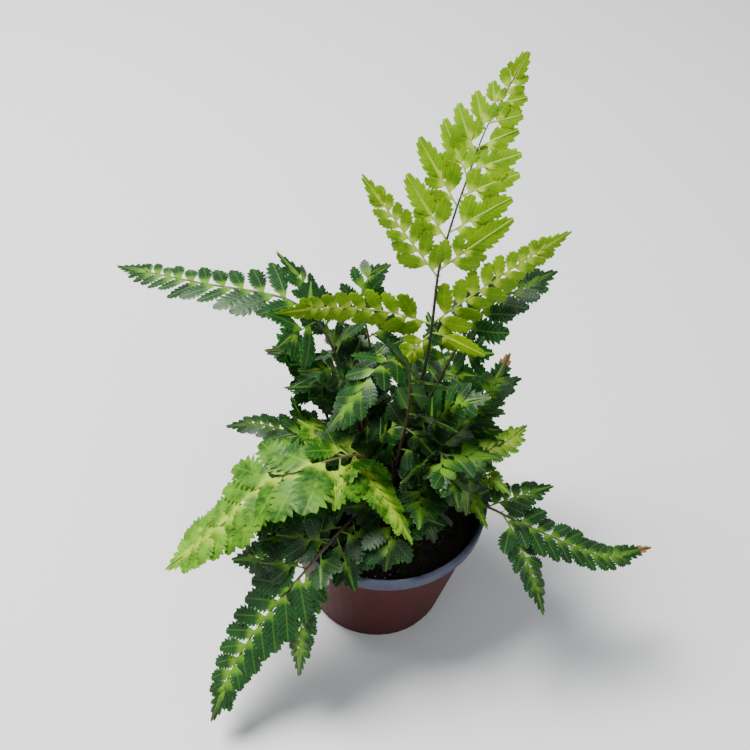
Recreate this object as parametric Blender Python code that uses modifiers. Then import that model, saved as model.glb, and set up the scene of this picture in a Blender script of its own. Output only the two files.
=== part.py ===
"""A holly fern in a small round nursery pot: the pot, its soil, the crown of the plant and one
solid for each frond. The frame has its origin at the middle of the pot's foot, +Z up and -Y to
the front. Lengths below are in millimetres and become metres when the objects are made."""

import math

import bmesh
import bpy
import numpy as np

MM = 0.001
GAP = 0.3
FOOT_HEIGHT, FOOT_WIDTH, FLOOR_THICKNESS, PAD_RADIUS = 2.0, 2.4, 1.4, 9.0
DRAIN_RADIUS, DRAIN_CIRCLE, DRAIN_COUNT = 3.0, 21.0, 6
NOTCH_WIDTH, NOTCH_COUNT = 7.0, 4
STIPE_WIDTH, STIPE_THICKNESS, BLADE_SHARE = 1.7, 1.6, 0.5

# Every frond grows from the crown in the middle of the pot. Its rachis follows a smooth
# curve through these points, in millimetres, from its foot at the crown to its tip.
# name, heading of the arch in degrees from +X, route, share of the length where the blade
# starts, longest leaflet in mm, and its side branches.
# Branch: share along the rachis, side (+1 right of the heading, -1 left), length in mm,
# angle to the rachis in degrees, bend (towards the tip if positive), droop, leaflet length
# and, for a few, the share of its length by which the tip lifts off the blade's upper face.
FRONDS = [
    ("frond_01_tall_young", 80,
     [(1, 3), (6, 10, 98), (11, 16, 128), (12, 21, 150), (12, 26, 173), (15, 33, 192), (19, 41, 207), (23, 49, 220), (29, 56, 232), (34, 60, 245)],
     0.915, 6.0,
     [(0.428, -1, 24, 142, 0.0, 0.10, 6.5, 0.25), (0.432, 1, 22, 90, 0.0, 0.10, 7.0, 0.25),
      (0.450, -1, 58, 78, -0.16, -0.05, 10.5, 0.38), (0.452, 1, 68, 40, -0.04, 0.02, 10.5),
      (0.558, -1, 47, 44, 0.02, 0.02, 9.5), (0.573, 1, 34, 40, 0.0, 0.02, 9.5),
      (0.635, -1, 28, 47, 0.0, 0.02, 9.5), (0.650, 1, 26, 42, 0.0, 0.02, 9.5),
      (0.702, -1, 28, 48, 0.0, 0.02, 9.0), (0.722, 1, 22, 48, 0.0, 0.02, 9.0),
      (0.758, -1, 22, 43, 0.0, 0.02, 8.0), (0.769, 1, 19, 50, 0.0, 0.02, 8.0),
      (0.800, -1, 19, 39, 0.0, 0.02, 7.5), (0.815, 1, 15, 46, 0.0, 0.02, 7.5),
      (0.846, -1, 14, 38, 0.0, 0.02, 6.5), (0.861, 1, 12, 50, 0.0, 0.02, 6.5),
      (0.887, -1, 10, 38, 0.0, 0.02, 5.5), (0.897, 1, 10, 45, 0.0, 0.02, 5.5)]),
    ("frond_02_left_long", 157,
     [(-8, 3), (-11, 8, 92), (-21, 12, 128), (-30, 16, 148), (-41, 20, 156), (-54, 24, 156), (-80, 33, 150), (-119, 54, 136)],
     0.52, 11.0,
     [(0.400, 1, 40, 20, 0.0, 0.0, 9.0, -0.5), (0.480, -1, 22, 70, 0.0, 0.15, 9.5), (0.500, 1, 14, 60, 0.0, 0.0, 8.0)]),
    ("frond_03_left_upright", 150,
     [(-10, 8), (-22, 15, 82), (-29, 18, 100), (-37, 21, 118), (-43, 26, 132), (-46, 31, 138)],
     0.50, 9.5,
     [(0.42, 1, 26, 58, 0.05, 0.08, 6.5)]),
    ("frond_04_left_low", 165,
     [(-12, 0), (-25, 9, 78), (-37, 9, 89), (-48, 11, 91), (-58, 14, 89), (-70, 16, 83)],
     0.52, 7.5,
     [(0.44, 1, 22, 50, 0.05, 0.10, 6.0), (0.50, -1, 17, 60, 0.05, 0.15, 5.5)]),
    ("frond_05_front_left_bright", 206,
     [(-4, -5), (-5, -9, 88), (-10, -10, 104), (-23, -18, 110), (-33, -22, 107), (-45, -23, 100), (-63, -34, 84), (-85, -46, 66)],
     0.40, 17.0,
     [(0.330, -1, 39, 98, -0.05, 0.22, 9.0), (0.345, 1, 26, 66, 0.05, 0.10, 9.5), (0.375, -1, 22, 60, 0.05, 0.25, 10.0)]),
    ("frond_06_front_left_hanging", 233,
     [(-3, -9), (-7, -12, 72), (-14, -26, 80), (-23, -39, 78), (-30, -45, 70), (-42, -54, 54), (-54, -66, 35), (-63, -85, 15)],
     0.42, 11.5,
     [(0.245, -1, 18, 104, -0.05, 0.05, 7.0), (0.285, 1, 30, 62, 0.05, 0.20, 8.0),
      (0.370, 1, 37, 52, 0.05, 0.15, 8.5), (0.400, -1, 40, 34, -0.10, 0.35, 7.0)]),
    ("frond_07_right_low", -6,
     [(9, -5), (17, -8, 76), (31, -15, 86), (42, -17, 87), (53, -20, 84), (67, -23, 80), (85, -25, 73), (97, -23, 69), (114, -15, 66)],
     0.42, 9.0,
     [(0.365, -1, 32, 44, 0.05, 0.05, 7.0), (0.420, 1, 38, 38, -0.05, 0.45, 7.5)]),
    ("frond_08_right_bright", 30,
     [(10, -2), (17, -3, 82), (27, -3, 98), (37, -2, 103), (47, 3, 105), (56, 14, 104)],
     0.60, 8.5,
     [(0.45, 1, 30, 66, 0.05, 0.38, 6.5), (0.55, 1, 26, 44, 0.05, 0.25, 6.5), (0.66, -1, 13, 50, 0.05, 0.10, 6.5)]),
    ("frond_09_front_right", -40,
     [(5, -7), (12, -10, 84), (17, -10, 108), (22, -13, 113), (27, -18, 108), (31, -21, 100), (33, -25, 92)],
     0.66, 9.0,
     [(0.56, 1, 24, 76, 0.05, 0.15, 6.5), (0.64, 1, 18, 56, 0.05, 0.20, 6.0),
      (0.56, -1, 20, 60, 0.05, 0.0, 7.0), (0.66, -1, 20, 46, 0.05, 0.02, 7.0)]),
    ("frond_10_right_upright", 72,
     [(12, 5), (23, 7, 86), (29, 7, 108), (34, 5, 126), (38, 4, 139), (41, 7, 152)],
     0.46, 10.0,
     [(0.50, 1, 17, 56, 0.05, 0.0, 7.0), (0.54, -1, 12, 56, 0.05, 0.0, 6.5)]),
    ("frond_11_back_right", 40,
     [(6, 8), (11, 14, 96), (20, 20, 128), (27, 24, 148), (34, 27, 158), (44, 31, 163), (58, 40, 166)],
     0.62, 12.0,
     [(0.50, 1, 16, 60, 0.05, -0.05, 8.0), (0.58, 1, 19, 56, 0.05, -0.05, 8.0), (0.52, -1, 24, 62, 0.05, 0.10, 8.0)]),
    ("frond_12_back_centre", 80,
     [(-3, 9), (-5, 17, 98), (-11, 27, 128), (-16, 34, 146), (-15, 39, 152), (-12, 43, 155), (-6, 48, 155)],
     0.72, 9.0,
     [(0.60, -1, 20, 60, 0.05, 0.05, 7.0), (0.66, 1, 16, 62, 0.05, 0.05, 7.0)]),
    ("frond_13_centre_front", 215,
     [(2, 0), (4, -3, 98), (6, 0, 120), (5, 4, 138), (0, 3, 148), (-8, -5, 150), (-15, -12, 141), (-25, -16, 124)],
     0.56, 11.0,
     [(0.44, 1, 10, 60, 0.05, 0.05, 8.0), (0.50, -1, 12, 62, 0.05, 0.10, 8.0)]),
    ("frond_14_centre_small", 15,
     [(-5, -1), (-6, 1, 86), (-4, 3, 99), (1, 4, 107), (6, 5, 110), (11, 5, 110)],
     0.60, 8.5,
     [(0.64, -1, 9, 60, 0.05, 0.0, 6.0), (0.66, 1, 10, 60, 0.05, 0.10, 6.0)]),
    ("frond_15_centre_right", 20,
     [(7, 3), (10, 1, 92), (15, 0, 112), (20, -1, 125), (27, -2, 133), (36, -3, 138)],
     0.60, 10.0,
     [(0.56, 1, 13, 56, 0.05, 0.02, 7.0), (0.62, -1, 11, 56, 0.05, 0.02, 7.0)]),
    ("frond_16_centre_left", 176,
     [(-6, 6), (-9, 8, 100), (-14, 8, 118), (-21, 6, 132), (-28, 3, 139), (-37, 0, 140)],
     0.62, 10.0,
     [(0.52, 1, 22, 58, 0.05, 0.05, 7.5), (0.57, -1, 22, 58, 0.05, 0.10, 7.5)]),
    ("frond_17_front_low", -50,
     [(6, -11), (9, -12, 80), (11, -15, 87), (17, -21, 83), (22, -28, 75)],
     0.60, 9.0,
     [(0.52, 1, 14, 64, 0.05, 0.10, 6.0), (0.56, -1, 13, 60, 0.05, 0.10, 6.0)]),
    ("frond_18_sprout", -84,
     [(3, -16), (5, -25, 72), (5, -31, 72), (5, -36, 68)],
     0.56, 8.0, []),
    ("frond_19_back_arching", 92,
     [(2, 10), (4, 22, 92), (3, 38, 106), (0, 56, 100), (-3, 74, 78)],
     0.56, 11.0,
     [(0.46, 1, 28, 60, 0.05, 0.15, 8.0), (0.52, -1, 28, 60, 0.05, 0.15, 8.0)]),
    ("frond_20_back_left_arching", 124,
     [(-8, 11), (-14, 24, 84), (-22, 40, 94), (-32, 56, 88), (-41, 70, 70)],
     0.58, 10.5,
     [(0.46, 1, 17, 60, 0.05, 0.15, 7.5), (0.58, -1, 16, 60, 0.05, 0.15, 7.5)]),
    ("frond_21_back_right_arching", 55,
     [(10, 9), (18, 20, 84), (28, 33, 96), (38, 47, 92), (48, 62, 76)],
     0.58, 10.5,
     [(0.46, 1, 24, 60, 0.05, 0.15, 7.5), (0.54, -1, 22, 60, 0.05, 0.15, 7.5)]),
    ("frond_22_front_left_inner", 212,
     [(-8, -4), (-19, -8, 80), (-32, -14, 88), (-44, -21, 84), (-55, -30, 72)],
     0.50, 11.0,
     [(0.42, 1, 11, 60, 0.05, 0.10, 8.0), (0.48, -1, 20, 60, 0.05, 0.10, 8.0)]),
    ("frond_23_front_centre", 262,
     [(2, -9), (3, -17, 79), (3, -27, 86), (3, -36, 82), (3, -43, 74)],
     0.52, 11.0,
     [(0.44, 1, 9, 58, 0.05, 0.10, 8.0), (0.50, -1, 14, 58, 0.05, 0.10, 8.0)]),
    ("frond_24_right_outer", 24,
     [(13, 10), (25, 17, 90), (34, 20, 108), (43, 24, 116), (52, 28, 117)],
     0.52, 11.0,
     [(0.44, 1, 15, 58, 0.05, 0.10, 8.0), (0.50, -1, 18, 58, 0.05, 0.05, 8.0)]),
    ("frond_25_left_outer", 168,
     [(-12, 12), (-22, 25, 88), (-33, 33, 104), (-44, 35, 113), (-55, 34, 113)],
     0.50, 11.0,
     [(0.44, 1, 10, 58, 0.05, -0.05, 8.0), (0.48, -1, 12, 58, 0.05, 0.10, 8.0)]),
    ("frond_26_left_inner", 186,
     [(-11, 4), (-17, 1, 86), (-27, -1, 101), (-37, -3, 106), (-47, -5, 104)],
     0.52, 10.5,
     [(0.44, 1, 12, 58, 0.05, 0.0, 8.0), (0.50, -1, 12, 58, 0.05, 0.0, 8.0)]),
]

RIM_RADIUS, RIM_HEIGHT, RIM_WALL = 45.0, 6.5, 1.9
BASE_RADIUS, POT_HEIGHT, POT_WALL = 32.0, 68.0, 1.2
SOIL_TOP, CROWN_RADIUS, CROWN_RISE = 59.6, 17.5, 4.5


def crown_top(x, y):
    """Height of the crown's top over the point (x, y), in mm."""
    reach = min(1.0, math.hypot(x, y - 1.0) / CROWN_RADIUS)
    return SOIL_TOP + 0.3 + CROWN_RISE * (1 - reach * reach)


def smooth_path(points, step):
    """A Catmull-Rom curve through the points, read again at even steps of its length."""
    p = np.array(points, float)
    p = np.vstack([2 * p[0] - p[1], p, 2 * p[-1] - p[-2]])
    fine = []
    for i in range(1, len(p) - 2):
        for t in np.linspace(0, 1, 24, endpoint=False):
            a, b, c, d = p[i - 1], p[i], p[i + 1], p[i + 2]
            fine.append(0.5 * (2 * b + (c - a) * t + (2 * a - 5 * b + 4 * c - d) * t * t + (3 * b - a - 3 * c + d) * t ** 3))
    fine.append(p[-2])
    fine = np.array(fine)
    run = np.concatenate([[0], np.cumsum(np.linalg.norm(np.diff(fine, axis=0), axis=1))])
    count = max(4, int(round(run[-1] / step)))
    at = np.linspace(0, run[-1], count + 1)
    return np.column_stack([np.interp(at, run, fine[:, k]) for k in range(3)]), run[-1]


def unit(v):
    return v / np.maximum(np.linalg.norm(v, axis=-1, keepdims=True), 1e-9)


class Axis:
    """A path with a frame: tangent t, right-hand side s and upper-face normal n at each point."""

    def __init__(self, path, normal):
        self.path = path
        self.run = np.concatenate([[0], np.cumsum(np.linalg.norm(np.diff(path, axis=0), axis=1))])
        self.length = self.run[-1]
        self.t = unit(np.gradient(path, axis=0))
        n = np.broadcast_to(normal, path.shape)
        n = n - (n * self.t).sum(1, keepdims=True) * self.t
        self.n = unit(n)
        self.s = np.cross(self.t, self.n)

    def at(self, mm):
        mm = np.clip(mm, 0, self.length)
        read = lambda field: np.column_stack([np.interp(mm, self.run, field[:, k]) for k in range(3)])
        return read(self.path), unit(read(self.t)), unit(read(self.s)), unit(read(self.n))


def rachis_of(frond):
    """The frond's main axis. Its blade lies across the vertical plane of the heading."""
    name, heading, route = frond[:3]
    foot = route[0]
    points = [(foot[0], foot[1], crown_top(*foot) + 0.8)] + list(route[1:])
    path, length = smooth_path(points, 1.5)
    h = np.array([math.cos(math.radians(heading)), math.sin(math.radians(heading)), 0.0])
    side = np.array([h[1], -h[0], 0.0])
    t = unit(np.gradient(path, axis=0))
    return Axis(path, unit(np.cross(side, t)))


def branch_of(rachis, branch):
    """A side branch's axis: it leaves at its angle, bends a little and droops under its weight."""
    share, side, length, angle, bend, droop, leaflet = branch[:7]
    lift = branch[7] if len(branch) > 7 else 0.0
    p, t, s, n = (x[0] for x in rachis.at(np.array([share * rachis.length])))
    a = math.radians(angle)
    u = np.linspace(0, 1, max(7, int(length / 1.5)))[:, None]
    out = math.cos(a) * t + side * math.sin(a) * s
    path = p + length * (u * out + u * u * (bend * t + lift * n)) - droop * length * u * u * np.array([0, 0, 1.0])
    return Axis(path, n)


def clear_scene():
    for o in list(bpy.data.objects):
        bpy.data.objects.remove(o)
    for c in list(bpy.data.collections):
        bpy.data.collections.remove(c)


def material(name, colour, roughness, metallic=0.0):
    m = bpy.data.materials.new(name)
    m.use_nodes = True
    b = m.node_tree.nodes["Principled BSDF"]
    b.inputs["Base Color"].default_value = (*colour, 1.0)
    b.inputs["Roughness"].default_value = roughness
    b.inputs["Metallic"].default_value = metallic
    return m


def collection(name):
    c = bpy.data.collections.new(name)
    bpy.context.scene.collection.children.link(c)
    return c


def move_to(obj, target):
    for c in list(obj.users_collection):
        c.objects.unlink(obj)
    target.objects.link(obj)


def turned(name, profile, steps, target, mat):
    """A solid of revolution: the closed half outline, in mm, turned about Z by a Screw."""
    mesh = bpy.data.meshes.new(name)
    bm = bmesh.new()
    verts = [bm.verts.new((r * MM, 0, z * MM)) for r, z in profile]
    for a, b in zip(verts, verts[1:]):
        bm.edges.new((a, b))
    if profile[0][0] > 0 and profile[-1][0] > 0:
        bm.edges.new((verts[-1], verts[0]))
    bm.to_mesh(mesh)
    bm.free()
    obj = bpy.data.objects.new(name, mesh)
    target.objects.link(obj)
    obj.data.materials.append(mat)
    m = obj.modifiers.new("turn", "SCREW")
    m.steps = m.render_steps = steps
    m.use_merge_vertices = True
    m.merge_threshold = 0.00001
    m.use_normal_calculate = True
    return obj


def cutter(obj, cutters):
    move_to(obj, cutters)
    obj.hide_render = True
    obj.display_type = "WIRE"
    return obj


def cut(obj, tool, name):
    m = obj.modifiers.new(name, "BOOLEAN")
    m.operation = "DIFFERENCE"
    m.solver = "EXACT"
    m.object = tool


def wall_radius(z):
    """Outer radius of the tapered wall at height z, in mm."""
    return BASE_RADIUS + (RIM_RADIUS - 2.6 - BASE_RADIUS) * z / (POT_HEIGHT - RIM_HEIGHT)


def make_pot(parts, cutters, mat):
    step = POT_HEIGHT - RIM_HEIGHT
    inner = lambda z: wall_radius(z) - POT_WALL
    floor = FOOT_HEIGHT + FLOOR_THICKNESS
    profile = [
        (0, floor), (inner(floor) - 0.8, floor), (inner(floor + 1), floor + 1.0),
        (inner(step - 1.0), step - 1.0), (RIM_RADIUS - RIM_WALL - 0.3, step + 1.0),
        (RIM_RADIUS - RIM_WALL, POT_HEIGHT - 0.5), (RIM_RADIUS - RIM_WALL + 0.5, POT_HEIGHT),
        (RIM_RADIUS - 0.6, POT_HEIGHT), (RIM_RADIUS, POT_HEIGHT - 0.7), (RIM_RADIUS - 0.3, step + 0.3),
        (RIM_RADIUS - 0.8, step), (wall_radius(step), step), (wall_radius(0.6), 0.6), (wall_radius(0) - 0.5, 0),
        (wall_radius(0) - FOOT_WIDTH, 0), (wall_radius(0) - FOOT_WIDTH, FOOT_HEIGHT),
        (PAD_RADIUS + 0.6, FOOT_HEIGHT), (PAD_RADIUS, 0), (0, 0),
    ]
    pot = turned("pot", profile[::-1], 48, parts, mat)
    for k in range(DRAIN_COUNT):
        a = 2 * math.pi * (k + 0.5) / DRAIN_COUNT
        bpy.ops.mesh.primitive_cylinder_add(
            vertices=16, radius=DRAIN_RADIUS * MM, depth=8 * MM,
            location=(DRAIN_CIRCLE * math.cos(a) * MM, DRAIN_CIRCLE * math.sin(a) * MM, 3 * MM))
        tool = cutter(bpy.context.object, cutters)
        tool.name = f"drain_cutter_{k + 1}"
        cut(pot, tool, f"drain {k + 1}")
    for k in range(NOTCH_COUNT):
        a = 2 * math.pi * (k + 0.5) / NOTCH_COUNT
        ring = wall_radius(0) - FOOT_WIDTH / 2
        bpy.ops.mesh.primitive_cube_add(
            size=1, location=(ring * math.cos(a) * MM, ring * math.sin(a) * MM, 0.2 * MM), rotation=(0, 0, a))
        tool = cutter(bpy.context.object, cutters)
        tool.name = f"notch_cutter_{k + 1}"
        tool.scale = (8 * MM, NOTCH_WIDTH * MM, 2.4 * MM)
        cut(pot, tool, f"notch {k + 1}")
    return pot


def make_soil(parts, mat):
    """The root ball: it fills the pot to just under its rim and keeps a small gap to the wall."""
    floor = FOOT_HEIGHT + FLOOR_THICKNESS + GAP
    inner = lambda z: wall_radius(z) - POT_WALL - GAP
    profile = [(0, SOIL_TOP), (20, SOIL_TOP), (34, SOIL_TOP - 0.3), (inner(SOIL_TOP - 1.6) - 0.4, SOIL_TOP - 0.8),
               (inner(SOIL_TOP - 2.2) - 0.05, SOIL_TOP - 2.2), (inner(floor + 1.2), floor + 1.2), (inner(floor) - 1.2, floor), (0, floor)]
    return turned("soil", profile, 36, parts, mat)


def make_crown(parts, mat):
    """The short rhizome that all the fronds grow from, a low dome on the soil."""
    profile = []
    for k in range(9):
        r = CROWN_RADIUS * k / 8
        profile.append((r, crown_top(r, 1.0) if k < 8 else SOIL_TOP + GAP + 0.05))
    profile.append((CROWN_RADIUS - 0.1, SOIL_TOP + GAP))
    profile.append((0, SOIL_TOP + GAP))
    crown = turned("crown_rhizome", profile, 28, parts, mat)
    crown.location = (0, 1.0 * MM, 0)
    return crown


def leaf_width(u):
    """Share of the greatest half width at the share u along a blade: full near its base, pointed at its tip."""
    return (0.55 + 0.45 * min(1, u / 0.18)) * (1 - u) ** 0.8 if u < 1 else 0.0


class Ribbon:
    """An open surface two points wide that follows the axes of a frond, to be given thickness."""

    def __init__(self):
        self.verts, self.faces, self.thick = [], [], []

    def add(self, point, thick):
        self.verts.append(point)
        self.thick.append(thick)
        return len(self.verts) - 1

    def strip(self, start, rows):
        """start is (left, right) indices; each row is (left point, right point, thickness)."""
        a, b = start
        pairs = [start]
        for left, right, thick in rows:
            c, d = self.add(left, thick), self.add(right, thick)
            self.faces.append((a, b, d, c))
            a, b = c, d
            pairs.append((c, d))
        return pairs


def blade_rows(axis, begin, leaflet, lobes, neck):
    """Rows of a lobed blade along the axis from begin (mm) to its tip."""
    rows = []
    span = axis.length - begin
    stations = [] if not neck else [(begin + neck, 0.7, 0.0)]
    first = begin + neck
    for k in range(lobes):
        a = first + (axis.length - first) * k / lobes
        step = (axis.length - first) / lobes
        u = (a - begin) / span
        width = 0.62 * leaflet * leaf_width(u + 0.10)
        stations.append((a + 0.15 * step, 0.42 * width + 0.5, 0.0))
        stations.append((a + 0.62 * step, width + 0.4, 0.30 * step))
    stations.append((axis.length, 0.35, 0.0))
    for mm, half, ahead in stations:
        p, t, s, n = (x[0] for x in axis.at(np.array([mm])))
        rows.append((p - s * half + t * ahead, p + s * half + t * ahead, BLADE_SHARE))
    return rows


def make_frond(frond, parts, mat):
    name, heading, route, blade, leaflet, branches = frond
    rachis = rachis_of(frond)
    cell = 4.0
    held = {}
    for b in branches:
        held.setdefault(int(round(b[0] * rachis.length / cell)), []).append(b)
    start = blade * rachis.length
    marks = {0.0: None}
    for k in held:
        marks[k * cell - 1.0] = None
        marks[k * cell + 1.0] = k
    if start > max(marks) + 1.5:
        marks[start] = None
    places = sorted(marks)
    full = [places[0]]
    for a, b in zip(places, places[1:]):
        extra = int((b - a) // 13)
        full += [a + (b - a) * (i + 1) / (extra + 1) for i in range(extra)] + [b]
    ribbon = Ribbon()
    half = STIPE_WIDTH / 2
    rows = []
    for mm in full:
        p, t, s, n = (x[0] for x in rachis.at(np.array([mm])))
        taper = 1 - 0.35 * mm / rachis.length
        rows.append((p - s * half * taper, p + s * half * taper, taper))
    first = (ribbon.add(rows[0][0], rows[0][2]), ribbon.add(rows[0][1], rows[0][2]))
    pairs = ribbon.strip(first, rows[1:])
    lobes = max(2, int(round((rachis.length - full[-1]) / 9.0)))
    ribbon.strip(pairs[-1], blade_rows(rachis, full[-1], leaflet, lobes, 0.0))
    for i, mm in enumerate(full):
        if marks.get(mm) is None:
            continue
        for b in held[marks[mm]]:
            axis = branch_of(rachis, b)
            before, after = pairs[i - 1], pairs[i]
            edge = (after[0], before[0]) if b[1] < 0 else (before[1], after[1])
            # The strip's left edge is on the branch's own left, so that its faces turn the same way.
            lobes = max(2, int(round(b[2] / 10.0)))
            # Neighbours on the same side keep clear of each other.
            room = min([abs(o[0] - b[0]) * rachis.length * math.sin(math.radians(b[3])) for o in branches if o[1] == b[1] and o != b] or [40.0])
            rows = blade_rows(axis, 0.0, min(b[6], room / 2 / 0.62), lobes, 1.8)
            left, right = (edge[1], edge[0])
            ribbon.strip((left, right), rows)
    mesh = bpy.data.meshes.new(name)
    mesh.from_pydata([tuple(v * MM) for v in ribbon.verts], [], ribbon.faces)
    obj = bpy.data.objects.new(name, mesh)
    parts.objects.link(obj)
    group = obj.vertex_groups.new(name="thickness")
    for i, w in enumerate(ribbon.thick):
        group.add([i], w, "REPLACE")
    m = obj.modifiers.new("thickness", "SOLIDIFY")
    m.thickness = STIPE_THICKNESS * MM
    m.offset = 0.0
    m.vertex_group = "thickness"
    m.use_even_offset = False
    m.use_rim = True
    obj.data.materials.append(mat)
    return obj


def main():
    clear_scene()
    parts = collection("potted_fern")
    cutters = collection("cutters")
    pot_mat = material("pot_plastic", (0.16, 0.045, 0.035), 0.45)
    soil_mat = material("soil", (0.012, 0.009, 0.007), 0.95)
    crown_mat = material("crown", (0.05, 0.03, 0.015), 0.9)
    dark = material("leaf_mature", (0.02, 0.09, 0.03), 0.45)
    young = material("leaf_young", (0.16, 0.36, 0.02), 0.45)
    make_pot(parts, cutters, pot_mat)
    make_soil(parts, soil_mat)
    make_crown(parts, crown_mat)
    for frond in FRONDS:
        bright = frond[0].endswith(("young", "bright", "sprout"))
        make_frond(frond, parts, young if bright else dark)


main()
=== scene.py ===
"""The looks of a holly fern in a round nursery pot. Lengths below are in millimetres unless a
name ends in _m, and become metres when a mesh is made."""

import math
import random

import bmesh
import bpy
import numpy as np
from mathutils import Matrix, Vector, noise


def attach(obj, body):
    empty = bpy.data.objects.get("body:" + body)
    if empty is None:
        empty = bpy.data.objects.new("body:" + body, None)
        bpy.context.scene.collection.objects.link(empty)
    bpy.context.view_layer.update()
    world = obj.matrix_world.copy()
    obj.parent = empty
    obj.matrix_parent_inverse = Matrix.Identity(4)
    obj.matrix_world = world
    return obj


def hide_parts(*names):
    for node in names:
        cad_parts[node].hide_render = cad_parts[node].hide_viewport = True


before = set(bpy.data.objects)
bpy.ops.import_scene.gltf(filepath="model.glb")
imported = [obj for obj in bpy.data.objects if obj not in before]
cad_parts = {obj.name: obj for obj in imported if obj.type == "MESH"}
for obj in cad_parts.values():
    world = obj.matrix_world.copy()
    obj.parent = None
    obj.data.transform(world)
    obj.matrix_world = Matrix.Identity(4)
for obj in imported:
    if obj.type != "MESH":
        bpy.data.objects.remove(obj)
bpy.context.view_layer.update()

MM = 0.001

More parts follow.
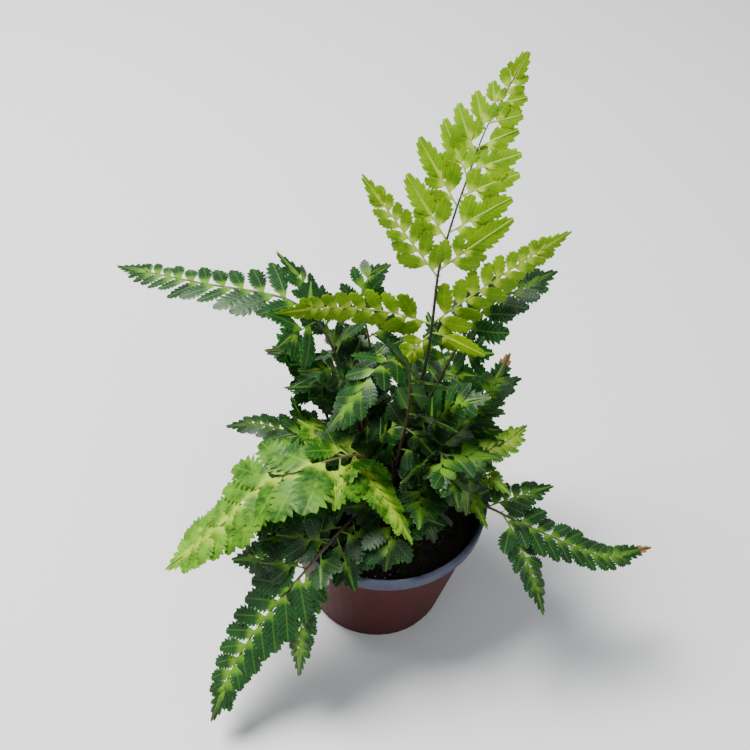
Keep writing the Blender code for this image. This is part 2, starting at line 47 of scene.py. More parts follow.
# Every frond grows from the crown in the middle of the pot. Its rachis follows a smooth
# curve through these points, in millimetres, from its foot at the crown to its tip.
# name, heading of the arch in degrees from +X, route, share of the length where the blade
# starts, longest leaflet in mm, and its side branches.
# Branch: share along the rachis, side (+1 right of the heading, -1 left), length in mm,
# angle to the rachis in degrees, bend (towards the tip if positive), droop, leaflet length
# and, for a few, the share of its length by which the tip lifts off the blade's upper face.
FRONDS = [
    ("frond_01_tall_young", 80,
     [(1, 3), (6, 10, 98), (11, 16, 128), (12, 21, 150), (12, 26, 173), (15, 33, 192), (19, 41, 207), (23, 49, 220), (29, 56, 232), (34, 60, 245)],
     0.915, 6.0,
     [(0.428, -1, 24, 142, 0.0, 0.10, 6.5, 0.25), (0.432, 1, 22, 90, 0.0, 0.10, 7.0, 0.25),
      (0.450, -1, 58, 78, -0.16, -0.05, 10.5, 0.38), (0.452, 1, 68, 40, -0.04, 0.02, 10.5),
      (0.558, -1, 47, 44, 0.02, 0.02, 9.5), (0.573, 1, 34, 40, 0.0, 0.02, 9.5),
      (0.635, -1, 28, 47, 0.0, 0.02, 9.5), (0.650, 1, 26, 42, 0.0, 0.02, 9.5),
      (0.702, -1, 28, 48, 0.0, 0.02, 9.0), (0.722, 1, 22, 48, 0.0, 0.02, 9.0),
      (0.758, -1, 22, 43, 0.0, 0.02, 8.0), (0.769, 1, 19, 50, 0.0, 0.02, 8.0),
      (0.800, -1, 19, 39, 0.0, 0.02, 7.5), (0.815, 1, 15, 46, 0.0, 0.02, 7.5),
      (0.846, -1, 14, 38, 0.0, 0.02, 6.5), (0.861, 1, 12, 50, 0.0, 0.02, 6.5),
      (0.887, -1, 10, 38, 0.0, 0.02, 5.5), (0.897, 1, 10, 45, 0.0, 0.02, 5.5)]),
    ("frond_02_left_long", 157,
     [(-8, 3), (-11, 8, 92), (-21, 12, 128), (-30, 16, 148), (-41, 20, 156), (-54, 24, 156), (-80, 33, 150), (-119, 54, 136)],
     0.52, 11.0,
     [(0.400, 1, 40, 20, 0.0, 0.0, 9.0, -0.5), (0.480, -1, 22, 70, 0.0, 0.15, 9.5), (0.500, 1, 14, 60, 0.0, 0.0, 8.0)]),
    ("frond_03_left_upright", 150,
     [(-10, 8), (-22, 15, 82), (-29, 18, 100), (-37, 21, 118), (-43, 26, 132), (-46, 31, 138)],
     0.50, 9.5,
     [(0.42, 1, 26, 58, 0.05, 0.08, 6.5)]),
    ("frond_04_left_low", 165,
     [(-12, 0), (-25, 9, 78), (-37, 9, 89), (-48, 11, 91), (-58, 14, 89), (-70, 16, 83)],
     0.52, 7.5,
     [(0.44, 1, 22, 50, 0.05, 0.10, 6.0), (0.50, -1, 17, 60, 0.05, 0.15, 5.5)]),
    ("frond_05_front_left_bright", 206,
     [(-4, -5), (-5, -9, 88), (-10, -10, 104), (-23, -18, 110), (-33, -22, 107), (-45, -23, 100), (-63, -34, 84), (-85, -46, 66)],
     0.40, 17.0,
     [(0.330, -1, 39, 98, -0.05, 0.22, 9.0), (0.345, 1, 26, 66, 0.05, 0.10, 9.5), (0.375, -1, 22, 60, 0.05, 0.25, 10.0)]),
    ("frond_06_front_left_hanging", 233,
     [(-3, -9), (-7, -12, 72), (-14, -26, 80), (-23, -39, 78), (-30, -45, 70), (-42, -54, 54), (-54, -66, 35), (-63, -85, 15)],
     0.42, 11.5,
     [(0.245, -1, 18, 104, -0.05, 0.05, 7.0), (0.285, 1, 30, 62, 0.05, 0.20, 8.0),
      (0.370, 1, 37, 52, 0.05, 0.15, 8.5), (0.400, -1, 40, 34, -0.10, 0.35, 7.0)]),
    ("frond_07_right_low", -6,
     [(9, -5), (17, -8, 76), (31, -15, 86), (42, -17, 87), (53, -20, 84), (67, -23, 80), (85, -25, 73), (97, -23, 69), (114, -15, 66)],
     0.42, 9.0,
     [(0.365, -1, 32, 44, 0.05, 0.05, 7.0), (0.420, 1, 38, 38, -0.05, 0.45, 7.5)]),
    ("frond_08_right_bright", 30,
     [(10, -2), (17, -3, 82), (27, -3, 98), (37, -2, 103), (47, 3, 105), (56, 14, 104)],
     0.60, 8.5,
     [(0.45, 1, 30, 66, 0.05, 0.38, 6.5), (0.55, 1, 26, 44, 0.05, 0.25, 6.5), (0.66, -1, 13, 50, 0.05, 0.10, 6.5)]),
    ("frond_09_front_right", -40,
     [(5, -7), (12, -10, 84), (17, -10, 108), (22, -13, 113), (27, -18, 108), (31, -21, 100), (33, -25, 92)],
     0.66, 9.0,
     [(0.56, 1, 24, 76, 0.05, 0.15, 6.5), (0.64, 1, 18, 56, 0.05, 0.20, 6.0),
      (0.56, -1, 20, 60, 0.05, 0.0, 7.0), (0.66, -1, 20, 46, 0.05, 0.02, 7.0)]),
    ("frond_10_right_upright", 72,
     [(12, 5), (23, 7, 86), (29, 7, 108), (34, 5, 126), (38, 4, 139), (41, 7, 152)],
     0.46, 10.0,
     [(0.50, 1, 17, 56, 0.05, 0.0, 7.0), (0.54, -1, 12, 56, 0.05, 0.0, 6.5)]),
    ("frond_11_back_right", 40,
     [(6, 8), (11, 14, 96), (20, 20, 128), (27, 24, 148), (34, 27, 158), (44, 31, 163), (58, 40, 166)],
     0.62, 12.0,
     [(0.50, 1, 16, 60, 0.05, -0.05, 8.0), (0.58, 1, 19, 56, 0.05, -0.05, 8.0), (0.52, -1, 24, 62, 0.05, 0.10, 8.0)]),
    ("frond_12_back_centre", 80,
     [(-3, 9), (-5, 17, 98), (-11, 27, 128), (-16, 34, 146), (-15, 39, 152), (-12, 43, 155), (-6, 48, 155)],
     0.72, 9.0,
     [(0.60, -1, 20, 60, 0.05, 0.05, 7.0), (0.66, 1, 16, 62, 0.05, 0.05, 7.0)]),
    ("frond_13_centre_front", 215,
     [(2, 0), (4, -3, 98), (6, 0, 120), (5, 4, 138), (0, 3, 148), (-8, -5, 150), (-15, -12, 141), (-25, -16, 124)],
     0.56, 11.0,
     [(0.44, 1, 10, 60, 0.05, 0.05, 8.0), (0.50, -1, 12, 62, 0.05, 0.10, 8.0)]),
    ("frond_14_centre_small", 15,
     [(-5, -1), (-6, 1, 86), (-4, 3, 99), (1, 4, 107), (6, 5, 110), (11, 5, 110)],
     0.60, 8.5,
     [(0.64, -1, 9, 60, 0.05, 0.0, 6.0), (0.66, 1, 10, 60, 0.05, 0.10, 6.0)]),
    ("frond_15_centre_right", 20,
     [(7, 3), (10, 1, 92), (15, 0, 112), (20, -1, 125), (27, -2, 133), (36, -3, 138)],
     0.60, 10.0,
     [(0.56, 1, 13, 56, 0.05, 0.02, 7.0), (0.62, -1, 11, 56, 0.05, 0.02, 7.0)]),
    ("frond_16_centre_left", 176,
     [(-6, 6), (-9, 8, 100), (-14, 8, 118), (-21, 6, 132), (-28, 3, 139), (-37, 0, 140)],
     0.62, 10.0,
     [(0.52, 1, 22, 58, 0.05, 0.05, 7.5), (0.57, -1, 22, 58, 0.05, 0.10, 7.5)]),
    ("frond_17_front_low", -50,
     [(6, -11), (9, -12, 80), (11, -15, 87), (17, -21, 83), (22, -28, 75)],
     0.60, 9.0,
     [(0.52, 1, 14, 64, 0.05, 0.10, 6.0), (0.56, -1, 13, 60, 0.05, 0.10, 6.0)]),
    ("frond_18_sprout", -84,
     [(3, -16), (5, -25, 72), (5, -31, 72), (5, -36, 68)],
     0.56, 8.0, []),
    ("frond_19_back_arching", 92,
     [(2, 10), (4, 22, 92), (3, 38, 106), (0, 56, 100), (-3, 74, 78)],
     0.56, 11.0,
     [(0.46, 1, 28, 60, 0.05, 0.15, 8.0), (0.52, -1, 28, 60, 0.05, 0.15, 8.0)]),
    ("frond_20_back_left_arching", 124,
     [(-8, 11), (-14, 24, 84), (-22, 40, 94), (-32, 56, 88), (-41, 70, 70)],
     0.58, 10.5,
     [(0.46, 1, 17, 60, 0.05, 0.15, 7.5), (0.58, -1, 16, 60, 0.05, 0.15, 7.5)]),
    ("frond_21_back_right_arching", 55,
     [(10, 9), (18, 20, 84), (28, 33, 96), (38, 47, 92), (48, 62, 76)],
     0.58, 10.5,
     [(0.46, 1, 24, 60, 0.05, 0.15, 7.5), (0.54, -1, 22, 60, 0.05, 0.15, 7.5)]),
    ("frond_22_front_left_inner", 212,
     [(-8, -4), (-19, -8, 80), (-32, -14, 88), (-44, -21, 84), (-55, -30, 72)],
     0.50, 11.0,
     [(0.42, 1, 11, 60, 0.05, 0.10, 8.0), (0.48, -1, 20, 60, 0.05, 0.10, 8.0)]),
    ("frond_23_front_centre", 262,
     [(2, -9), (3, -17, 79), (3, -27, 86), (3, -36, 82), (3, -43, 74)],
     0.52, 11.0,
     [(0.44, 1, 9, 58, 0.05, 0.10, 8.0), (0.50, -1, 14, 58, 0.05, 0.10, 8.0)]),
    ("frond_24_right_outer", 24,
     [(13, 10), (25, 17, 90), (34, 20, 108), (43, 24, 116), (52, 28, 117)],
     0.52, 11.0,
     [(0.44, 1, 15, 58, 0.05, 0.10, 8.0), (0.50, -1, 18, 58, 0.05, 0.05, 8.0)]),
    ("frond_25_left_outer", 168,
     [(-12, 12), (-22, 25, 88), (-33, 33, 104), (-44, 35, 113), (-55, 34, 113)],
     0.50, 11.0,
     [(0.44, 1, 10, 58, 0.05, -0.05, 8.0), (0.48, -1, 12, 58, 0.05, 0.10, 8.0)]),
    ("frond_26_left_inner", 186,
     [(-11, 4), (-17, 1, 86), (-27, -1, 101), (-37, -3, 106), (-47, -5, 104)],
     0.52, 10.5,
     [(0.44, 1, 12, 58, 0.05, 0.0, 8.0), (0.50, -1, 12, 58, 0.05, 0.0, 8.0)]),
]

RIM_RADIUS, RIM_HEIGHT, RIM_WALL = 45.0, 6.5, 1.9
BASE_RADIUS, POT_HEIGHT, POT_WALL = 32.0, 68.0, 1.2
SOIL_TOP, CROWN_RADIUS, CROWN_RISE = 59.6, 17.5, 4.5


def crown_top(x, y):
    """Height of the crown's top over the point (x, y), in mm."""
    reach = min(1.0, math.hypot(x, y - 1.0) / CROWN_RADIUS)
    return SOIL_TOP + 0.3 + CROWN_RISE * (1 - reach * reach)


def smooth_path(points, step):
    """A Catmull-Rom curve through the points, read again at even steps of its length."""
    p = np.array(points, float)
    p = np.vstack([2 * p[0] - p[1], p, 2 * p[-1] - p[-2]])
    fine = []
    for i in range(1, len(p) - 2):
        for t in np.linspace(0, 1, 24, endpoint=False):
            a, b, c, d = p[i - 1], p[i], p[i + 1], p[i + 2]
            fine.append(0.5 * (2 * b + (c - a) * t + (2 * a - 5 * b + 4 * c - d) * t * t + (3 * b - a - 3 * c + d) * t ** 3))
    fine.append(p[-2])
    fine = np.array(fine)
    run = np.concatenate([[0], np.cumsum(np.linalg.norm(np.diff(fine, axis=0), axis=1))])
    count = max(4, int(round(run[-1] / step)))
    at = np.linspace(0, run[-1], count + 1)
    return np.column_stack([np.interp(at, run, fine[:, k]) for k in range(3)]), run[-1]


def unit(v):
    return v / np.maximum(np.linalg.norm(v, axis=-1, keepdims=True), 1e-9)


class Axis:
    """A path with a frame: tangent t, right-hand side s and upper-face normal n at each point."""

    def __init__(self, path, normal):
        self.path = path
        self.run = np.concatenate([[0], np.cumsum(np.linalg.norm(np.diff(path, axis=0), axis=1))])
        self.length = self.run[-1]
        self.t = unit(np.gradient(path, axis=0))
        n = np.broadcast_to(normal, path.shape)
        n = n - (n * self.t).sum(1, keepdims=True) * self.t
        self.n = unit(n)
        self.s = np.cross(self.t, self.n)

    def at(self, mm):
        mm = np.clip(mm, 0, self.length)
        read = lambda field: np.column_stack([np.interp(mm, self.run, field[:, k]) for k in range(3)])
        return read(self.path), unit(read(self.t)), unit(read(self.s)), unit(read(self.n))


def rachis_of(frond):
    """The frond's main axis. Its blade lies across the vertical plane of the heading."""
    name, heading, route = frond[:3]
    foot = route[0]
    points = [(foot[0], foot[1], crown_top(*foot) + 0.8)] + list(route[1:])
    path, length = smooth_path(points, 1.5)
    h = np.array([math.cos(math.radians(heading)), math.sin(math.radians(heading)), 0.0])
    side = np.array([h[1], -h[0], 0.0])
    t = unit(np.gradient(path, axis=0))
    return Axis(path, unit(np.cross(side, t)))


def branch_of(rachis, branch):
    """A side branch's axis: it leaves at its angle, bends a little and droops under its weight."""
    share, side, length, angle, bend, droop, leaflet = branch[:7]
    lift = branch[7] if len(branch) > 7 else 0.0
    p, t, s, n = (x[0] for x in rachis.at(np.array([share * rachis.length])))
    a = math.radians(angle)
    u = np.linspace(0, 1, max(7, int(length / 1.5)))[:, None]
    out = math.cos(a) * t + side * math.sin(a) * s
    path = p + length * (u * out + u * u * (bend * t + lift * n)) - droop * length * u * u * np.array([0, 0, 1.0])
    return Axis(path, n)


# ---------------------------------------------------------------- materials

class Nodes:
    """Small helper to build a node tree in reading order."""

    def __init__(self, name):
        self.material = bpy.data.materials.new(name)
        self.material.use_nodes = True
        self.tree = self.material.node_tree
        self.shader = self.tree.nodes["Principled BSDF"]

    def node(self, kind, **settings):
        n = self.tree.nodes.new(kind)
        for k, v in settings.items():
            setattr(n, k, v)
        return n

    def link(self, a, b):
        self.tree.links.new(a, b)

    def put(self, socket, value):
        if isinstance(value, (int, float, tuple)):
            socket.default_value = value
        else:
            self.link(value, socket)

    def math(self, op, a, b=0.0, c=0.0, clamp=False):
        n = self.node("ShaderNodeMath", operation=op, use_clamp=clamp)
        for i, v in enumerate((a, b, c)):
            self.put(n.inputs[i], v)
        return n.outputs[0]

    def mix(self, factor, a, b, blend="MIX"):
        n = self.node("ShaderNodeMix", data_type="RGBA", blend_type=blend)
        self.put(n.inputs["Factor"], factor)
        self.put(n.inputs[6], a if not isinstance(a, tuple) else (*a, 1.0))
        self.put(n.inputs[7], b if not isinstance(b, tuple) else (*b, 1.0))
        return n.outputs[2]

    def attribute(self, name):
        return self.node("ShaderNodeAttribute", attribute_name=name).outputs["Fac"]

    def noise(self, scale, detail=3.0, roughness=0.55, distortion=0.0):
        if not hasattr(self, "coords"):
            self.coords = self.node("ShaderNodeTexCoord").outputs["Object"]
        n = self.node("ShaderNodeTexNoise")
        self.link(self.coords, n.inputs["Vector"])
        n.inputs["Scale"].default_value = scale
        n.inputs["Detail"].default_value = detail
        n.inputs["Roughness"].default_value = roughness
        n.inputs["Distortion"].default_value = distortion
        return n.outputs["Fac"]

    def ramp(self, value, low, high, to_low=0.0, to_high=1.0):
        n = self.node("ShaderNodeMapRange", clamp=True, interpolation_type="SMOOTHSTEP")
        for i, v in enumerate((value, low, high, to_low, to_high)):
            self.put(n.inputs[i], v)
        return n.outputs[0]

    def bump(self, height, strength, distance, below=None):
        n = self.node("ShaderNodeBump")
        n.inputs["Strength"].default_value = strength
        n.inputs["Distance"].default_value = distance
        self.link(height, n.inputs["Height"])
        if below is not None:
            self.link(below, n.inputs["Normal"])
        return n.outputs["Normal"]


def leaf_material(name, deep, light, band, under, band_share, roughness, waxy, rib=0.30, gloss=0.26):
    """Leaf: two tones in soft patches, a pale band by the midrib, forked veins and a paler underside."""
    n = Nodes(name)
    u, v = n.attribute("leaf_u"), n.attribute("leaf_v")
    rnd, near, back, burn = (n.attribute(k) for k in ("rnd", "band", "under", "burn"))
    patches = n.noise(140.0, 3.0)
    fine = n.noise(900.0, 4.0)
    across = n.math("ABSOLUTE", v)
    tone = n.math("ADD", n.ramp(patches, 0.36, 0.64, 0.0, 0.55), n.math("MULTIPLY", rnd, 0.45))
    colour = n.mix(tone, deep, light)
    # Forked side veins run forward from the midrib to the teeth.
    phase = n.math("SUBTRACT", n.math("MULTIPLY", u, 8.5), n.math("MULTIPLY", across, 2.2))
    wave = n.math("SINE", n.math("MULTIPLY", phase, 2 * math.pi))
    vein = n.ramp(wave, 0.62, 0.98)
    midrib = n.ramp(across, 0.10, 0.02)
    lines = n.math("MAXIMUM", n.math("MULTIPLY", vein, 0.5 * rib), n.math("MULTIPLY", midrib, rib))
    colour = n.mix(lines, colour, band)
    edge = n.math("ADD", near, n.math("MULTIPLY", n.math("SUBTRACT", fine, 0.5), 0.35))
    colour = n.mix(n.math("MULTIPLY", n.ramp(edge, 0.10, 0.72), band_share), colour, band)
    tips = n.math("MULTIPLY", n.ramp(across, 1.02, 1.14), 0.35)
    colour = n.mix(tips, colour, tuple(min(1.0, c * 1.25 + 0.02) for c in band))
    colour = n.mix(n.math("MULTIPLY", back, 0.75), colour, under)
    scorch = n.ramp(n.math("ADD", burn, n.math("MULTIPLY", n.math("SUBTRACT", patches, 0.5), 0.5)), 0.45, 0.62)
    brown = n.mix(fine, (0.13, 0.052, 0.018), (0.30, 0.15, 0.06))
    colour = n.mix(scorch, colour, brown)
    n.link(colour, n.shader.inputs["Base Color"])
    rough = n.math("ADD", roughness - 0.06, n.math("MULTIPLY", fine, 0.14))
    n.link(n.math("ADD", rough, n.math("MULTIPLY", back, 0.15)), n.shader.inputs["Roughness"])
    height = n.math("ADD", n.math("MULTIPLY", wave, -0.5), n.math("MULTIPLY", fine, 0.9))
    first = n.bump(height, 0.30, 0.00007)
    n.link(n.bump(n.math("ADD", n.math("MULTIPLY", midrib, -1.0), patches), 0.4, 0.00018, first), n.shader.inputs["Normal"])
    n.shader.inputs["Subsurface Weight"].default_value = 0.22
    n.shader.inputs["Subsurface Radius"].default_value = (0.5, 1.0, 0.25)
    n.shader.inputs["Subsurface Scale"].default_value = 0.0009
    n.shader.inputs["Specular IOR Level"].default_value = gloss
    n.shader.inputs["Coat Weight"].default_value = waxy
    n.shader.inputs["Coat Roughness"].default_value = 0.38
    return n.material


def stem_material(name, low, high, pale, hairy):
    """Stalk: brown at its foot, greener up, with fine length-wise streaks."""
    n = Nodes(name)
    along = n.attribute("leaf_u")
    streak = n.noise(1600.0, 3.0)
    patches = n.noise(220.0, 3.0)
    colour = n.mix(n.ramp(n.math("ADD", along, n.math("MULTIPLY", n.math("SUBTRACT", patches, 0.5), 0.4)), 0.05, 0.75), low, high)
    colour = n.mix(n.math("MULTIPLY", streak, 0.5), colour, tuple(c * 0.45 for c in low))
    colour = n.mix(n.ramp(along, 1.1, 1.5), colour, n.mix(streak, pale, tuple(c * 0.7 for c in pale)))
    n.link(colour, n.shader.inputs["Base Color"])
    n.link(n.math("ADD", 0.42, n.math("MULTIPLY", streak, 0.25)), n.shader.inputs["Roughness"])
    n.link(n.bump(streak, 0.6, 0.00012), n.shader.inputs["Normal"])
    n.shader.inputs["Sheen Weight"].default_value = 0.12 if hairy else 0.05
    n.shader.inputs["Sheen Roughness"].default_value = 0.4
    return n.material


def rough_material(name, dark, light, scale, roughness, depth):
    """Soil, crumbs, moss and scales: two tones in grains, with a deep matt bump."""
    n = Nodes(name)
    grain = n.noise(scale, 6.0, 0.7)
    coarse = n.noise(scale * 0.22, 4.0, 0.6)
    mixed = n.math("ADD", n.math("MULTIPLY", grain, 0.6), n.math("MULTIPLY", coarse, 0.4))
    n.link(n.mix(n.ramp(mixed, 0.38, 0.66), dark, light), n.shader.inputs["Base Color"])
    n.link(n.ramp(grain, 0.2, 0.8, roughness, min(1.0, roughness + 0.2)), n.shader.inputs["Roughness"])
    n.link(n.bump(mixed, 0.9, depth), n.shader.inputs["Normal"])
    n.shader.inputs["Specular IOR Level"].default_value = 0.3
    return n.material


def pot_material():
    """Two-tone thin plastic: reddish brown wall, blue-grey rim and inside, faint scuffs and dust."""
    n = Nodes("pot_plastic")
    coords = n.node("ShaderNodeTexCoord").outputs["Object"]
    n.coords = coords
    split = n.node("ShaderNodeSeparateXYZ")
    n.link(coords, split.inputs[0])
    x, y, z = split.outputs
    radius = n.math("SQRT", n.math("ADD", n.math("MULTIPLY", x, x), n.math("MULTIPLY", y, y)))
    wall = n.math("ADD", BASE_RADIUS * MM, n.math("MULTIPLY", z, (RIM_RADIUS - 2.6 - BASE_RADIUS) / (POT_HEIGHT - RIM_HEIGHT)))
    outside = n.ramp(n.math("SUBTRACT", radius, wall), -0.0007, -0.0005)
    below = n.ramp(z, (POT_HEIGHT - RIM_HEIGHT + 0.15) * MM, (POT_HEIGHT - RIM_HEIGHT - 0.15) * MM)
    brown = n.math("MULTIPLY", outside, below)
    cloud, fine, speck = n.noise(60.0, 4.0), n.noise(1400.0, 4.0), n.noise(420.0, 6.0, 0.75)
    clay = n.mix(n.ramp(cloud, 0.35, 0.7), (0.190, 0.001, 0.004), (0.250, 0.004, 0.008))
    inner = n.ramp(n.math("SUBTRACT", RIM_RADIUS * MM, radius), 0.0017, 0.0023)
    slate = n.mix(n.ramp(cloud, 0.35, 0.7), (0.060, 0.068, 0.105), (0.085, 0.095, 0.140))
    # Painted shade: inside the pot, the blue-grey plastic is mixed towards near black, standing in for the shade in the
    # pot's hollow.
    slate = n.mix(n.math("MULTIPLY", inner, 0.55), slate, (0.028, 0.031, 0.048))
    colour = n.mix(brown, slate, clay)
    rings = n.math("SINE", n.math("MULTIPLY", z, 2 * math.pi / 0.0011))
    scuff = n.math("MULTIPLY", n.ramp(speck, 0.64, 0.76), 0.12)
    colour = n.mix(scuff, colour, (0.30, 0.22, 0.20))
    soil = n.math("MULTIPLY", n.math("MULTIPLY", inner, n.ramp(n.math("ADD", z, n.math("MULTIPLY", speck, 0.004)), 0.0665, 0.0625)), 0.8)
    colour = n.mix(soil, colour, (0.020, 0.015, 0.012))
    n.link(colour, n.shader.inputs["Base Color"])
    n.link(n.math("ADD", 0.44, n.math("MULTIPLY", fine, 0.22)), n.shader.inputs["Roughness"])
    n.shader.inputs["Specular IOR Level"].default_value = 0.06
    height = n.math("ADD", n.math("MULTIPLY", rings, 0.25), n.math("MULTIPLY", fine, 1.0))
    n.link(n.bump(height, 0.35, 0.00008), n.shader.inputs["Normal"])
    return n.material


# ---------------------------------------------------------------- meshes

class Build:
    """Collects vertices, faces, per-vertex attributes and a material index for each face."""

    FIELDS = ("leaf_u", "leaf_v", "band", "under", "rnd", "burn")

    def __init__(self):
        self.verts, self.faces, self.slots, self.count = [], [], [], 0
        self.fields = {k: [] for k in self.FIELDS}

    def add(self, verts, faces, slot, **fields):
        """faces: a list of arrays, each (n, 3) or (n, 4), that index verts."""
        self.verts.append(verts)
        for f in faces:
            if len(f):
                self.faces.extend((np.asarray(f) + self.count).tolist())
                self.slots.append(np.full(len(f), slot))
        for k in self.FIELDS:
            v = fields.get(k, 0.0)
            self.fields[k].append(np.broadcast_to(np.asarray(v, float), (len(verts),)))
        self.count += len(verts)

    def make(self, name, materials, smooth=True):
        mesh = bpy.data.meshes.new(name)
        mesh.from_pydata((np.vstack(self.verts) * MM).tolist(), [], self.faces)
        for m in materials:
            mesh.materials.append(m)
        mesh.polygons.foreach_set("material_index", np.concatenate(self.slots).astype(np.int32))
        mesh.polygons.foreach_set("use_smooth", np.full(len(mesh.polygons), smooth))
        for k in self.FIELDS:
            a = mesh.attributes.new(k, "FLOAT", "POINT")
            a.data.foreach_set("value", np.concatenate(self.fields[k]).astype(np.float32))
        mesh.update()
        # A leaf's thin margin stays a crisp edge.
        mesh.set_sharp_from_angle(angle=math.radians(75))
        obj = bpy.data.objects.new(name, mesh)
        bpy.context.scene.collection.objects.link(obj)
        return obj


OUTLINES = {
    # Wedge-shaped at its foot, broadest past its middle, with a blunt end.
    "pinnule": ([0, 0.05, 0.14, 0.28, 0.48, 0.66, 0.82, 0.93, 1], [0.12, 0.26, 0.70, 0.95, 1.00, 0.95, 0.76, 0.46, 0.12], [0.08, 0.13, 0.26, 0.52, 0.82, 0.93, 0.78, 0.46, 0.12]),
    "round": ([0, 0.06, 0.18, 0.34, 0.54, 0.74, 0.88, 0.96, 1], [0.12, 0.26, 0.66, 0.94, 1.00, 0.92, 0.70, 0.44, 0.16], [0.10, 0.18, 0.46, 0.78, 0.96, 0.92, 0.70, 0.44, 0.16]),
    "terminal": ([0, 0.05, 0.2, 0.45, 0.7, 0.88, 1], [0.50, 0.90, 1, 0.80, 0.50, 0.24, 0.02], [0.50, 0.90, 1, 0.80, 0.50, 0.24, 0.02]),
    "lobed": ([0, 0.05, 0.16, 0.36, 0.6, 0.8, 0.93, 1], [0.20, 0.66, 0.96, 1.0, 0.86, 0.62, 0.36, 0.10], [0.16, 0.48, 0.88, 1.0, 0.86, 0.62, 0.36, 0.10]),
    "scale": ([0, 0.2, 0.6, 1], [0.6, 1, 0.6, 0.02], [0.6, 1, 0.6, 0.02]),
}


def leaf_template(kind, teeth, depth, spine, seed):
    """A closed thin leaf. Columns: u along, v across (1 is its greatest half width), push
    forward, height above the leaf's plane in half widths, and thickness share (1 below)."""
    rng = random.Random(seed)
    us, left, right = OUTLINES[kind]
    lobed = kind in ("terminal", "lobed")
    depth = depth * 0.55 if kind == "lobed" else depth
    # Each margin's stations: (u, width share, push). Teeth point forward and end in a short spine.
    def margin(phase, start):
        out = []
        for k in range(teeth):
            share = (k + phase) / teeth
            deep = depth * (1 - 0.65 * share) if lobed else depth * min(1.0, 0.35 + 1.3 * share) * (1.7 if k % 3 == 2 else 0.85)
            tip = spine * (1.0 if share > start else 0.3)
            out.append((1 - deep, 0.0))
            out.append((1.0 - 0.12 * deep, 0.03 / teeth))
            out.append(((1 + tip) * (1 + rng.uniform(-0.05, 0.05)), 0.40 / teeth))
        return out
    lm, rm = margin(0.0, 0.15), margin(0.5, 0.25)
    rows = [(0.0, 1.0, 1.0, 0.0, 0.0)]
    marks = []
    for k in range(teeth):
        for part in (0.10, 0.42, 0.72):
            marks.append(min(0.985, 0.03 + 0.955 * (k + part) / teeth))
    for i, u in enumerate(marks):
        fl, pl = lm[i]
        fr, pr = rm[(i + 1) % len(rm)] if not kind == "scale" else lm[i]
        rows.append((u, fl, fr, pl, pr))
    rows.append((1.02, 1.0, 1.0, 0.0, 0.0))
    out = []
    for i, (u, fl, fr, pl, pr) in enumerate(rows):
        l, r = np.interp(u, us, left), np.interp(u, us, right)
        inner_l, inner_r = 0.60 * l, 0.60 * r
        hl, hr = 0.07 * l, 0.07 * r
        out += [(u, l * fl, pl, 0.01 * l, 0.5), (u, inner_l, 0, hl, 0.0), (u, 0.0, 0, -0.03, 0.0), (u, -inner_r, 0, hr, 0.0),
                (u, -r * fr, pr, 0.01 * r, 0.5), (u, -inner_r, 0, hr, 1.0), (u, 0.0, 0, -0.03, 1.0), (u, inner_l, 0, hl, 1.0)]
    t = np.array(out, float)
    quads = []
    for i in range(len(rows) - 1):
        for j in range(8):
            a, b = 8 * i + j, 8 * i + (j + 1) % 8
            quads.append((a, b, b + 8, a + 8))
    end = 8 * (len(rows) - 1)
    tris = []
    for j in range(1, 7):
        tris.append((0, j + 1, j))
        tris.append((end, end + j, end + j + 1))
    return t, np.array(quads), np.array(tris)


def place_leaves(build, template, slot, base, along, normal, length, ratio, side, tilt, twist, droop, bend, toward, thick=0.22, **fields):
    """Copies of the template: base, along, normal and toward are (n, 3); the rest are numbers or (n,)."""
    t, quads, tris = template
    n = len(base)
    col = lambda x: np.broadcast_to(np.asarray(x, float), (n,))[:, None, None]
    u, v, push, h, low = (t[:, i][None, :, None] for i in range(5))
    along, normal = unit(along), unit(normal)
    normal = unit(normal - (normal * along).sum(1, keepdims=True) * along)
    across = np.cross(normal, along)
    # The leaf's upper edge is the one nearer the tip of its axis.
    sign = np.sign((across * toward).sum(1, keepdims=True))
    sign[sign == 0] = 1
    across = across * sign
    A, N, C = along[:, None, :], normal[:, None, :], across[:, None, :]
    L, w = col(length), col(length) * col(ratio) * 0.5
    turn = col(tilt) + col(twist) * u
    lat = C * np.cos(turn) + N * np.sin(turn)
    up = N * np.cos(turn) - C * np.sin(turn)
    p = base[:, None, :] + L * (u + push) * A + w * v * lat + (w * h - low * thick) * up
    p = p - L * col(droop) * u * u * N + L * col(bend) * u * u * toward[:, None, :]
    flat = p.reshape(-1, 3)
    offset = (np.arange(n) * len(t))[:, None, None]
    fq, ft = quads[None] + offset, tris[None] + offset
    flip = (sign[:, 0] < 0)
    fq = np.where(flip[:, None, None], fq[:, :, ::-1], fq)
    ft = np.where(flip[:, None, None], ft[:, :, ::-1], ft)
    per = lambda x: np.repeat(np.broadcast_to(np.asarray(x, float), (n,)), len(t))
    out = {k: (x.reshape(-1) if getattr(x, "ndim", 0) == 2 else per(x)) for k, x in fields.items()}
    out.setdefault("leaf_u", np.tile(t[:, 0], n))
    out.setdefault("leaf_v", np.tile(t[:, 1], n))
    out.setdefault("under", np.tile((t[:, 4] > 0.75).astype(float), n))
    build.add(flat, [fq.reshape(-1, 4), ft.reshape(-1, 3)], slot, **out)


